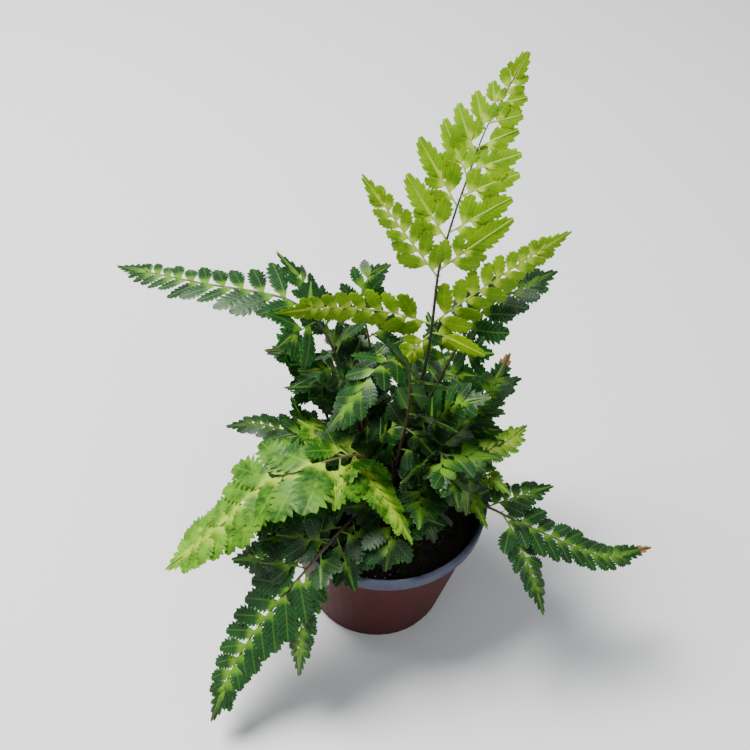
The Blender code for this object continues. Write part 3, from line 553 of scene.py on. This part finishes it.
def tube(build, points, radii, slot, sides=6, u0=0.0, u1=1.0, wobble=0.0, rng=None):
    """A closed tapered tube along the points."""
    points = np.asarray(points, float)
    t = unit(np.gradient(points, axis=0))
    ref = np.array([0.31, 0.52, 0.79]) if abs(t[0][2]) > 0.9 else np.array([0, 0, 1.0])
    a = unit(np.cross(t, ref))
    b = np.cross(t, a)
    n = len(points)
    ang = np.linspace(0, 2 * math.pi, sides, endpoint=False)
    r = np.broadcast_to(np.asarray(radii, float), (n,))[:, None, None]
    ring = points[:, None, :] + r * (np.cos(ang)[None, :, None] * a[:, None, :] + np.sin(ang)[None, :, None] * b[:, None, :])
    verts = np.vstack([ring.reshape(-1, 3), points[:1] - t[:1] * r[0, 0, 0] * 0.5, points[-1:] + t[-1:] * r[-1, 0, 0] * 0.5])
    quads = []
    for i in range(n - 1):
        for j in range(sides):
            k = (j + 1) % sides
            quads.append((i * sides + j, i * sides + k, (i + 1) * sides + k, (i + 1) * sides + j))
    first, last = n * sides, n * sides + 1
    tris = []
    for j in range(sides):
        k = (j + 1) % sides
        tris.append((first, k, j))
        tris.append((last, (n - 1) * sides + j, (n - 1) * sides + k))
    u = np.concatenate([np.repeat(np.linspace(u0, u1, n), sides), [u0, u1]])
    build.add(verts, [np.array(quads), np.array(tris)], slot, leaf_u=u)


TEMPLATES = {}


def template(kind, teeth, depth, spine, variant):
    key = (kind, teeth, depth, spine, variant)
    if key not in TEMPLATES:
        TEMPLATES[key] = leaf_template(*key)
    return TEMPLATES[key]


def blade(build, axis, begin, leaflet, look, rng, free_share=None, scorch=0.0, first_boost=1.0):
    """Leaflets in turn on both sides of the axis, from begin (mm) on, and a lobed leaf at its end."""
    span = axis.length - begin
    leaflet = leaflet * look["grow"]
    if free_share is None:
        free_share = min(0.84, max(0.0, (span - 9.0) / span * 0.92))
    free = span * free_share
    size = lambda s: leaflet * (0.86 + 0.14 * min(1.0, (s - begin) / (0.12 * span))) * (1 - 0.92 * (s - begin) / span) ** look["fall"]
    items, s, side, first = [], begin + 0.16 * leaflet, 1 if rng.random() < 0.5 else -1, 2
    while s < begin + free:
        length = size(s) * rng.uniform(0.93, 1.07)
        if first:
            length *= first_boost
            first -= 1
        items.append((s, side, length))
        s += look["pitch"] * size(s) * 0.5
        side = -side
    bw, glow, shade = look["band_width"], look.get("glow", 1.0), look.get("shade", 0.0)
    for variant in range(3):
        chosen = items[variant::3]
        if not chosen:
            continue
        ss = np.array([c[0] for c in chosen])
        sd = np.array([c[1] for c in chosen], float)
        ln = np.array([c[2] for c in chosen])
        p, t, sv, nv = axis.at(ss)
        share = (ss - begin) / span
        ang = np.radians(look["angle"] - 20 * share + np.array([rng.uniform(-4, 4) for _ in chosen]))
        along = np.cos(ang)[:, None] * t + (np.sin(ang) * sd)[:, None] * sv
        tmpl = template(look["kind"], look["teeth"], look["depth"], look["spine"], variant)
        lift = np.array([rng.uniform(-0.05, 0.10) for _ in chosen]) + look["lift"]
        along = along + lift[:, None] * nv
        dist = ln[:, None] * tmpl[0][:, 0][None, :] * np.sin(ang)[:, None]
        near = np.clip(1 - dist / bw, 0, 1)
        place_leaves(
            build, tmpl, 0, p + 0.12 * nv, along, nv, ln, look["ratio"] * np.array([rng.uniform(0.94, 1.06) for _ in chosen]), sd,
            look["tilt"] + np.array([rng.uniform(-0.10, 0.10) for _ in chosen]), np.array([rng.uniform(-0.15, 0.15) for _ in chosen]),
            look["droop"] + np.array([rng.uniform(-0.05, 0.07) for _ in chosen]), 0.10, t,
            band=near * glow, rnd=shade + look["fade"] * (2.0 * share ** 1.2 - 0.45) + (1 - look["fade"]) * np.array([rng.random() for _ in chosen]),
            burn=np.clip((share - 0.70) * 2.2, 0, 1)[:, None] * scorch * tmpl[0][:, 0][None, :])
    # The end of the blade: lobes that grow together and shrink to teeth.
    s0 = begin + free * 0.97
    left = axis.length - s0
    p, t, sv, nv = axis.at(np.array([s0]))
    q = axis.at(np.array([axis.length]))[0]
    chord = q - p
    half = look["end_width"] * size(s0)
    teeth = max(4, min(9, int(left / look["lobe"] + 0.5)))
    tmpl = template("lobed" if free_share < 0.45 else "terminal", teeth, look["lobing"], look["spine"], 7)
    v = np.abs(tmpl[0][:, 1])[None, :]
    sag = np.linalg.norm(chord) * 0.0
    place_leaves(
        build, tmpl, 0, p + 0.15 * nv, chord, nv, np.array([np.linalg.norm(chord)]), np.array([2 * half / np.linalg.norm(chord)]), np.array([1.0]),
        0.0, rng.uniform(-0.2, 0.2), rng.uniform(-0.02, 0.05), 0.0, sv, band=np.clip(1 - v * half / (bw * look["end_band"] * (1.05 - 0.9 * np.clip(tmpl[0][:, 0], 0, 1))[None, :]), -8, 1) * glow,
        rnd=np.array([shade + look["fade"] * 1.4 + (1 - look["fade"]) * rng.random()]), burn=scorch * np.clip(tmpl[0][:, 0] * 3.2 - 1.5, 0, 1)[None, :])


LOOKS = {
    "mature": dict(kind="pinnule", teeth=8, depth=0.22, spine=0.15, ratio=0.62, pitch=0.56, angle=58, fall=0.58, tilt=0.14, droop=0.12,
                   lift=0.05, lobing=0.50, band_width=4.6, grow=1.36, end_width=0.58, end_band=0.42, lobe=3.0, fade=0.0),
    "bright": dict(kind="pinnule", teeth=8, depth=0.30, spine=0.18, ratio=0.66, pitch=0.44, angle=57, fall=0.60, tilt=0.14, droop=0.16,
                   lift=0.08, lobing=0.50, band_width=5.5, grow=1.36, end_width=0.58, end_band=0.50, lobe=3.0, fade=0.75),
    "young": dict(kind="round", teeth=6, depth=0.15, spine=0.09, ratio=0.62, pitch=0.66, angle=54, fall=0.52, tilt=0.05, droop=0.10,
                  lift=0.06, lobing=0.50, band_width=3.4, grow=1.08, end_width=0.58, end_band=0.26, lobe=2.9, fade=0.25),
}
BRIGHT = {"frond_05_front_left_bright": "bright", "frond_08_right_bright": "bright", "frond_18_sprout": "bright",
          "frond_01_tall_young": "young"}
# Fronds whose leaflets are larger or narrower than the others'.
VARIED = {"frond_02_left_long": dict(grow=1.56, pitch=0.58, ratio=0.50), "frond_06_front_left_hanging": dict(grow=1.58),
          "frond_04_left_low": dict(glow=0.55, shade=-0.4), "frond_07_right_low": dict(glow=0.62, shade=-0.25, grow=1.46),
          "frond_08_right_bright": dict(fade=0.35, shade=-0.05, ratio=0.52, grow=1.12),
          "frond_09_front_right": dict(grow=1.56, band_width=7.0, end_band=0.62), "frond_22_front_left_inner": dict(grow=1.56), "frond_25_left_outer": dict(grow=1.5)}
# The side pinnae of the bright fronds are older and darker: (tone shift, share of the pale band).
DULL = {"frond_05_front_left_bright": (-0.35, 0.9), "frond_08_right_bright": (-1.1, 0.45)}
SCORCHED = {"frond_07_right_low": 1.0, "frond_10_right_upright": 1.0, "frond_21_back_right_arching": 0.8}


CORE_CENTRE, CORE_REACH = (-3.0, 5.0, 104.0), (55.0, 46.0, 50.0)


def add_inner_pinnae(build, rachis, start, look, rng):
    """The small pinnae low on the stalk that close the plant's dense core. They turn their faces
    up and outward to the light, and stay in the core's rounded outline."""
    low, high = min(0.3, 17.0 / rachis.length), start * 0.97
    # Painted shade: these core pinnae get a much darker tone and a fainter pale band than the rest of the frond,
    # standing in for the shade inside the dense core.
    look = dict(look, shade=-1.1, glow=0.5) if look["fade"] else dict(look, shade=-0.45, glow=0.62)
    # The one that hangs over the rim keeps its pinnae close, so they can leave the core.
    hanging = rachis.path[-1][2] < 30
    count = int(round((high - low) * rachis.length / 5.4))
    side = 1
    for k in range(count):
        for attempt in range(8):
            share = low + (high - low) * (k + rng.random()) / max(1, count)
            p, t, s, n = (x[0] for x in rachis.at(np.array([share * rachis.length])))
            out = np.array([p[0], p[1] - 2.0, 0.0])
            out = out / max(1.0, np.linalg.norm(out))
            a = math.radians(rng.uniform(48, 82))
            turn = rng.uniform(-0.5, 0.5)
            d = math.cos(a) * t + math.sin(a) * (side * (math.cos(turn) * s + math.sin(turn) * n)) + 0.35 * out
            d = d / np.linalg.norm(d)
            length = rng.uniform(17, 31) * (0.8 + 0.2 * share)
            droop = rng.uniform(0.08, 0.30)
            tip = p + length * d - np.array([0, 0, droop * length])
            q = (tip - np.array(CORE_CENTRE)) / np.array(CORE_REACH)
            if ((q * q).sum() < 1 and tip[2] > 73) or (hanging and tip[2] > 66 and length < 24):
                break
        else:
            side = -side
            continue
        u = np.linspace(0, 1, 14)[:, None]
        path = p + length * u * d - droop * length * u * u * np.array([0, 0, 1.0])
        face = np.array([0, 0, 1.0]) + 0.75 * out + 0.25 * n + np.array([rng.uniform(-0.3, 0.3), rng.uniform(-0.3, 0.3) - 0.15, 0])
        axis = Axis(path, face)
        tube(build, axis.path[::2], np.linspace(0.38, 0.12, 7), 1, 5, 1.6, 2.0)
        blade(build, axis, 1.8, rng.uniform(6.6, 8.6), look, rng, first_boost=1.1)
        side = -side


def make_frond(frond, number, materials):
    name, heading, route, start, leaflet, branches = frond
    rng = random.Random(100 + number)
    look = dict(LOOKS[BRIGHT.get(name, "mature")], **VARIED.get(name, {}))
    build = Build()
    rachis = rachis_of(frond)
    # The stalk, thick at its foot, thin in the blade.
    at = np.linspace(0, rachis.length, max(24, int(rachis.length / 3)))
    p = rachis.at(at)[0]
    p[0] -= (0, 0, 0.9)
    share = at / rachis.length
    radius = np.interp(share, [0, 0.04, 0.3, start, 1], [1.15, 0.85, 0.68, 0.52, 0.20])
    if look["kind"] == "round":
        radius = np.interp(share, [0, 0.04, 0.3, 0.6, 1], [1.25, 0.95, 0.74, 0.46, 0.14])
    tube(build, p, radius, 1, 8)
    scorch = SCORCHED.get(name, 0.0)
    blade(build, rachis, start * rachis.length, leaflet, look, rng, scorch=scorch, first_boost=1.05)
    for b in branches:
        axis = branch_of(rachis, b)
        n = max(8, int(axis.length / 2.0))
        tube(build, axis.path[np.linspace(0, len(axis.path) - 1, n).astype(int)], np.linspace(0.40, 0.12, n), 1, 6, 1.6, 2.0)
        share = None
        if look["kind"] == "round" and b[2] < 40:
            share = 0.16 if b[2] < 13 else 0.22 if b[2] < 24 else 0.36
        dull = DULL.get(name)
        part = look if dull is None else dict(look, shade=dull[0], glow=dull[1])
        blade(build, axis, 1.6, b[6] * (1.0 if share is None else 0.92), part, rng, free_share=share, first_boost=1.15)
    if look["kind"] == "pinnule" and number != 17:
        add_inner_pinnae(build, rachis, start, look, rng)
    # Fine hairs and scales on the stalk.
    hairs = 420 if look["kind"] == "round" else 90
    end = (0.96 if look["kind"] == "round" else 0.55) * rachis.length
    s = np.array([rng.random() ** (1.0 if look["kind"] == "round" else 2.2) for _ in range(hairs)]) * end
    p, t, sv, nv = rachis.at(s)
    a = np.array([rng.uniform(0, 2 * math.pi) for _ in range(hairs)])
    out = np.cos(a)[:, None] * sv + np.sin(a)[:, None] * nv
    size = np.array([rng.uniform(0.7, 1.7) for _ in range(hairs)]) * np.interp(s / rachis.length, [0, 0.15, 1], [1.7, 1.0, 0.7])
    r = np.interp(s / rachis.length, [0, 0.04, 0.3, start, 1], [1.15, 0.85, 0.68, 0.52, 0.20])
    place_leaves(build, template("scale", 1, 0.0, 0.0, 0), 2, p + out * (r * 0.8)[:, None], out + 0.8 * t, np.cross(out, t) + out * 0.3, size,
                 np.array([rng.uniform(0.10, 0.22) for _ in range(hairs)]), np.ones(hairs), 0.0, 0.0, 0.0, 0.0, t, thick=0.05,
                 rnd=np.array([rng.random() for _ in range(hairs)]))
    obj = build.make(name + "_leaves", materials)
    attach(obj, "root")
    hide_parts(name)
    return obj


def grain(build, centre, size, rng, slot, squash=0.7, rough=0.25, level=1):
    """A small irregular crumb."""
    bm = bmesh.new()
    bmesh.ops.create_icosphere(bm, subdivisions=level, radius=1.0)
    v = np.array([x.co for x in bm.verts])
    f = np.array([[x.index for x in face.verts] for face in bm.faces])
    bm.free()
    turn = np.array(Matrix.Rotation(rng.uniform(0, 6.28), 3, Vector((rng.uniform(-1, 1), rng.uniform(-1, 1), rng.uniform(-1, 1) + 0.01)).normalized()))
    scale = 1 + np.array([rng.uniform(-rough, rough) for _ in v])[:, None]
    v = v * scale * np.array([1.0, rng.uniform(0.6, 1.0), squash])
    build.add(v @ turn.T * size + centre, [f], slot, rnd=rng.random())


def soil_height(x, y):
    p = Vector((x * 0.11, y * 0.11, 3.1))
    q = Vector((x * 0.42, y * 0.42, 7.7))
    return SOIL_TOP - 0.2 + 1.1 * noise.noise(p) + 0.55 * noise.noise(q)


def make_soil(materials):
    """The root ball, with a lumpy top, and on it crumbs, moss, bark and a few pale grains."""
    build = Build()
    rings, sectors = 46, 120
    inner = lambda z: BASE_RADIUS + (RIM_RADIUS - 2.6 - BASE_RADIUS) * z / (POT_HEIGHT - RIM_HEIGHT) - POT_WALL - 0.3
    edge = inner(SOIL_TOP - 2.0)
    verts = [(0, 0, soil_height(0, 0))]
    for i in range(1, rings + 1):
        r = edge * i / rings
        for j in range(sectors):
            a = 2 * math.pi * j / sectors
            x, y = r * math.cos(a), r * math.sin(a)
            fall = max(0.0, (r - edge + 2.5) / 2.5)
            verts.append((x, y, soil_height(x, y) - 1.4 * fall * fall))
    for z in (SOIL_TOP - 6, 30.0, 5.2, 3.7):
        for j in range(sectors):
            a = 2 * math.pi * j / sectors
            r = inner(z) - (1.2 if z < 4 else 0.0)
            verts.append((r * math.cos(a), r * math.sin(a), z))
    verts.append((0, 0, 3.7))
    tris, quads = [], []
    for j in range(sectors):
        k = (j + 1) % sectors
        tris.append((0, 1 + j, 1 + k))
    for i in range(rings + 3):
        for j in range(sectors):
            k = (j + 1) % sectors
            a, b = 1 + i * sectors, 1 + (i + 1) * sectors
            quads.append((a + j, b + j, b + k, a + k))
    low = 1 + (rings + 3) * sectors
    for j in range(sectors):
        k = (j + 1) % sectors
        tris.append((len(verts) - 1, low + k, low + j))
    build.add(np.array(verts, float), [np.array(quads), np.array(tris)], 0)
    obj = build.make("soil_ball", [materials["soil"]])
    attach(obj, "root")
    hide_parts("soil")

    rng = random.Random(5)
    crumbs = Build()
    for _ in range(900):
        r, a = edge * math.sqrt(rng.random()) * 0.985, rng.uniform(0, 2 * math.pi)
        x, y = r * math.cos(a), r * math.sin(a)
        size = 0.30 + 1.15 * rng.random() ** 3
        grain(crumbs, np.array([x, y, soil_height(x, y) + size * 0.15 - (1.2 if r > edge - 1.2 else 0)]), size, rng, 0)
    for _ in range(46):
        r, a = edge * math.sqrt(rng.random()) * 0.95, rng.uniform(0, 2 * math.pi)
        if rng.random() < 0.5:
            a, r = math.radians(rng.uniform(225, 300)), edge * rng.uniform(0.86, 0.985)
        x, y = r * math.cos(a), r * math.sin(a)
        grain(crumbs, np.array([x, y, soil_height(x, y) + 0.2]), rng.uniform(0.22, 0.62), rng, 1)
    for _ in range(60):
        r, a = edge * math.sqrt(rng.random()) * 0.9, rng.uniform(0, 2 * math.pi)
        x, y = r * math.cos(a), r * math.sin(a)
        d = rng.uniform(0, 6.28)
        l = rng.uniform(1.5, 5.0)
        pts = [np.array([x + math.cos(d + 0.3 * k) * l * k / 4, y + math.sin(d + 0.3 * k) * l * k / 4, 0]) for k in range(5)]
        pts = [np.array([q[0], q[1], soil_height(q[0], q[1]) + 0.25]) for q in pts if math.hypot(q[0], q[1]) < edge - 0.6]
        if len(pts) > 2:
            tube(crumbs, pts, rng.uniform(0.16, 0.42), 2, 5)
    obj = crumbs.make("soil_crumbs", [materials["crumb"], materials["perlite"], materials["scale"]])
    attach(obj, "root")

    moss = Build()
    for _ in range(9):
        r0, a0 = edge * rng.uniform(0.55, 0.93), rng.uniform(0, 2 * math.pi)
        if rng.random() < 0.5:
            a0 = math.radians(rng.uniform(215, 320))
        cx, cy, spread = r0 * math.cos(a0), r0 * math.sin(a0), rng.uniform(1.6, 4.2)
        for _ in range(int(26 * spread)):
            x, y = cx + rng.gauss(0, spread * 0.55), cy + rng.gauss(0, spread * 0.55)
            if math.hypot(x, y) > edge - 0.8:
                continue
            z = soil_height(x, y)
            up = np.array([[rng.gauss(0, 0.35), rng.gauss(0, 0.35), 1.0]])
            base = np.array([[x, y, z - 0.1]])
            for k in range(3):
                lean = up + np.array([[rng.gauss(0, 0.7), rng.gauss(0, 0.7), 0]])
                place_leaves(moss, template("scale", 1, 0.0, 0.0, 0), 0, base, lean, np.cross(lean, np.array([[rng.gauss(0, 1), rng.gauss(0, 1), 0.1]])),
                             np.array([rng.uniform(0.7, 1.7)]), np.array([0.36]), np.ones(1), 0.0, 0.0, 0.1, 0.0, up, thick=0.08, rnd=rng.random())
    obj = moss.make("moss", [materials["moss"]])
    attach(obj, "root")


def make_crown(materials):
    """The scaly rhizome with the stubs of old stalks."""
    build = Build()
    rng = random.Random(11)
    rings, sectors = 16, 48
    verts = [(0, 1.0, crown_top(0, 1.0))]
    for i in range(1, rings + 1):
        r = (CROWN_RADIUS - 1.2) * i / rings
        for j in range(sectors):
            a = 2 * math.pi * j / sectors
            x, y = r * math.cos(a), 1.0 + r * math.sin(a)
            z = crown_top(x, y) + 0.9 * noise.noise(Vector((x * 0.35, y * 0.35, 1.0))) - (0.6 if i == rings else 0)
            verts.append((x, y, z))
    for j in range(sectors):
        a = 2 * math.pi * j / sectors
        verts.append(((CROWN_RADIUS - 1.6) * math.cos(a), 1.0 + (CROWN_RADIUS - 1.6) * math.sin(a), SOIL_TOP - 2.0))
    verts.append((0, 1.0, SOIL_TOP - 2.0))
    tris, quads = [], []
    for j in range(sectors):
        k = (j + 1) % sectors
        tris.append((0, 1 + j, 1 + k))
    for i in range(rings):
        for j in range(sectors):
            k = (j + 1) % sectors
            a, b = 1 + i * sectors, 1 + (i + 1) * sectors
            quads.append((a + j, b + j, b + k, a + k))
    low = 1 + rings * sectors
    for j in range(sectors):
        k = (j + 1) % sectors
        tris.append((len(verts) - 1, low + k, low + j))
    build.add(np.array(verts, float), [np.array(quads), np.array(tris)], 0)
    # Scales lie up the rhizome and round every frond's foot.
    count = 1100
    feet = np.array([f[2][0][:2] for f in FRONDS], float)
    xy = []
    while len(xy) < count:
        if rng.random() < 0.65:
            f = feet[rng.randrange(len(feet))]
            x, y = f[0] + rng.gauss(0, 1.7), f[1] + rng.gauss(0, 1.7)
        else:
            r, a = CROWN_RADIUS * 0.93 * math.sqrt(rng.random()), rng.uniform(0, 6.283)
            x, y = r * math.cos(a), 1.0 + r * math.sin(a)
        xy.append((x, y))
    xy = np.array(xy)
    z = np.array([crown_top(x, y) for x, y in xy]) - 0.3
    base = np.column_stack([xy, z])
    lean = np.column_stack([[rng.gauss(0, 0.55) for _ in xy], [rng.gauss(0, 0.55) for _ in xy], [rng.uniform(0.25, 1.1) for _ in xy]])
    face = np.column_stack([[rng.gauss(0, 1) for _ in xy], [rng.gauss(0, 1) for _ in xy], [0.2] * count])
    place_leaves(build, template("scale", 2, 0.0, 0.0, 1), 1, base, lean, face, np.array([rng.uniform(1.6, 4.0) for _ in xy]),
                 np.array([rng.uniform(0.18, 0.34) for _ in xy]), np.ones(count), 0.0, 0.4, 0.15, 0.0, lean[:, [1, 2, 0]], thick=0.08,
                 rnd=np.array([rng.random() for _ in xy]))
    for _ in range(9):
        r, a = CROWN_RADIUS * rng.uniform(0.2, 0.75), rng.uniform(0, 6.283)
        x, y = r * math.cos(a), 1.0 + r * math.sin(a)
        h = rng.uniform(3.5, 9.0)
        d = np.array([rng.gauss(0, 0.3), rng.gauss(0, 0.3), 1.0])
        pts = [np.array([x, y, crown_top(x, y) - 1]) + d * h * k / 4 for k in range(5)]
        tube(build, pts, [0.95, 0.85, 0.8, 0.75, 0.6], 1, 7)
    obj = build.make("crown_scales", [materials["rhizome"], materials["scale"]])
    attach(obj, "root")
    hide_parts("crown_rhizome")


def make_stage():
    mesh = bpy.data.meshes.new("floor")
    mesh.from_pydata([(-3, -3, 0), (3, -3, 0), (3, 3, 0), (-3, 3, 0)], [], [(0, 1, 2, 3)])
    floor = bpy.data.objects.new("floor", mesh)
    bpy.context.scene.collection.objects.link(floor)
    n = Nodes("floor_paint")
    n.link(n.mix(n.noise(2.5, 2.0), (0.80, 0.81, 0.815), (0.83, 0.84, 0.845)), n.shader.inputs["Base Color"])
    n.shader.inputs["Roughness"].default_value = 0.85
    floor.data.materials.append(n.material)

    def area(name, place, target, size, energy, colour):
        data = bpy.data.lights.new(name, "AREA")
        data.shape = "DISK"
        data.size = size
        data.energy = energy
        data.color = colour
        lamp = bpy.data.objects.new(name, data)
        bpy.context.scene.collection.objects.link(lamp)
        lamp.location = place
        lamp.rotation_euler = (Vector(target) - Vector(place)).to_track_quat("-Z", "Y").to_euler()
        return lamp

    area("key", (-0.52, 0.16, 1.17), (0, 0, 0.1), 0.6, KEY, (1.0, 0.985, 0.96))
    area("fill", (0.8, -0.7, 0.9), (0, 0, 0.1), 0.9, FILL, (0.93, 0.96, 1.0))
    world = bpy.data.worlds.new("studio")
    bpy.context.scene.world = world
    world.use_nodes = True
    world.node_tree.nodes["Background"].inputs[0].default_value = (0.90, 0.94, 1.0, 1)
    world.node_tree.nodes["Background"].inputs[1].default_value = SKY

    data = bpy.data.cameras.new("camera")
    data.sensor_width = 36.0
    data.lens = 48.0
    data.clip_start = 0.01
    camera = bpy.data.objects.new("camera", data)
    bpy.context.scene.collection.objects.link(camera)
    right, up, back = (0.99619, 0.06436, 0.05877), (-0.08716, 0.73565, 0.67174), (0.0, -0.67430, 0.73846)
    camera.matrix_world = Matrix((
        (right[0], up[0], back[0], -0.00815),
        (right[1], up[1], back[1], -0.25354),
        (right[2], up[2], back[2], 0.41919),
        (0, 0, 0, 1)))
    bpy.context.scene.camera = camera


KEY, FILL, SKY = 35.0, 3.5, 0.38


def main():
    make_stage()
    stem_dark = stem_material("stalk_mature", (0.060, 0.026, 0.014), (0.075, 0.085, 0.022), (0.12, 0.22, 0.03), False)
    stem_pink = stem_material("stalk_bright", (0.110, 0.050, 0.028), (0.13, 0.16, 0.035), (0.22, 0.36, 0.05), False)
    stem_young = stem_material("stalk_young", (0.011, 0.012, 0.005), (0.026, 0.034, 0.010), (0.34, 0.52, 0.07), True)
    scale = rough_material("scales", (0.045, 0.020, 0.010), (0.16, 0.085, 0.040), 800.0, 0.6, 0.0002)
    hair = rough_material("hairs", (0.16, 0.10, 0.055), (0.36, 0.28, 0.16), 800.0, 0.6, 0.0001)
    leaves = {
        "mature": leaf_material("leaf_mature", (0.0014, 0.015, 0.0045), (0.0080, 0.052, 0.0100), (0.135, 0.310, 0.015), (0.04, 0.11, 0.025), 0.75, 0.42, 0.05, 0.26),
        "bright": leaf_material("leaf_bright", (0.007, 0.062, 0.002), (0.140, 0.345, 0.014), (0.370, 0.560, 0.034), (0.09, 0.20, 0.03), 0.80, 0.44, 0.03, 0.15, 0.18),
        "young": leaf_material("leaf_young", (0.070, 0.175, 0.000), (0.175, 0.320, 0.001), (0.500, 0.640, 0.050), (0.18, 0.32, 0.015), 0.84, 0.46, 0.02, 0.16, 0.14),
    }
    stalks = {"mature": stem_dark, "bright": stem_pink, "young": stem_young}
    for i, frond in enumerate(FRONDS):
        kind = BRIGHT.get(frond[0], "mature")
        make_frond(frond, i, [leaves[kind], stalks[kind], hair if kind == "young" else scale])
    make_soil({
        "soil": rough_material("soil", (0.006, 0.004, 0.003), (0.035, 0.025, 0.018), 900.0, 0.75, 0.0006),
        "crumb": rough_material("soil_crumb", (0.008, 0.005, 0.004), (0.050, 0.034, 0.022), 1300.0, 0.75, 0.0003),
        "perlite": rough_material("perlite", (0.42, 0.40, 0.37), (0.72, 0.70, 0.66), 1500.0, 0.7, 0.0002),
        "scale": scale,
        "moss": rough_material("moss", (0.020, 0.045, 0.008), (0.090, 0.140, 0.025), 1200.0, 0.7, 0.0002),
    })
    make_crown({"rhizome": rough_material("rhizome", (0.014, 0.008, 0.005), (0.060, 0.034, 0.018), 700.0, 0.7, 0.0005), "scale": scale})
    # The pot keeps its shape, welded and shaded smooth round its wall.
    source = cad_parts["pot"]
    bm = bmesh.new()
    bm.from_mesh(source.data)
    bm.transform(source.matrix_world)
    bmesh.ops.remove_doubles(bm, verts=bm.verts, dist=0.000002)
    mesh = bpy.data.meshes.new("pot_shell")
    bm.to_mesh(mesh)
    bm.free()
    mesh.polygons.foreach_set("use_smooth", [True] * len(mesh.polygons))
    mesh.set_sharp_from_angle(angle=math.radians(28))
    mesh.materials.append(pot_material())
    pot = bpy.data.objects.new("pot_shell", mesh)
    bpy.context.scene.collection.objects.link(pot)
    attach(pot, "root")
    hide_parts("pot")


main()
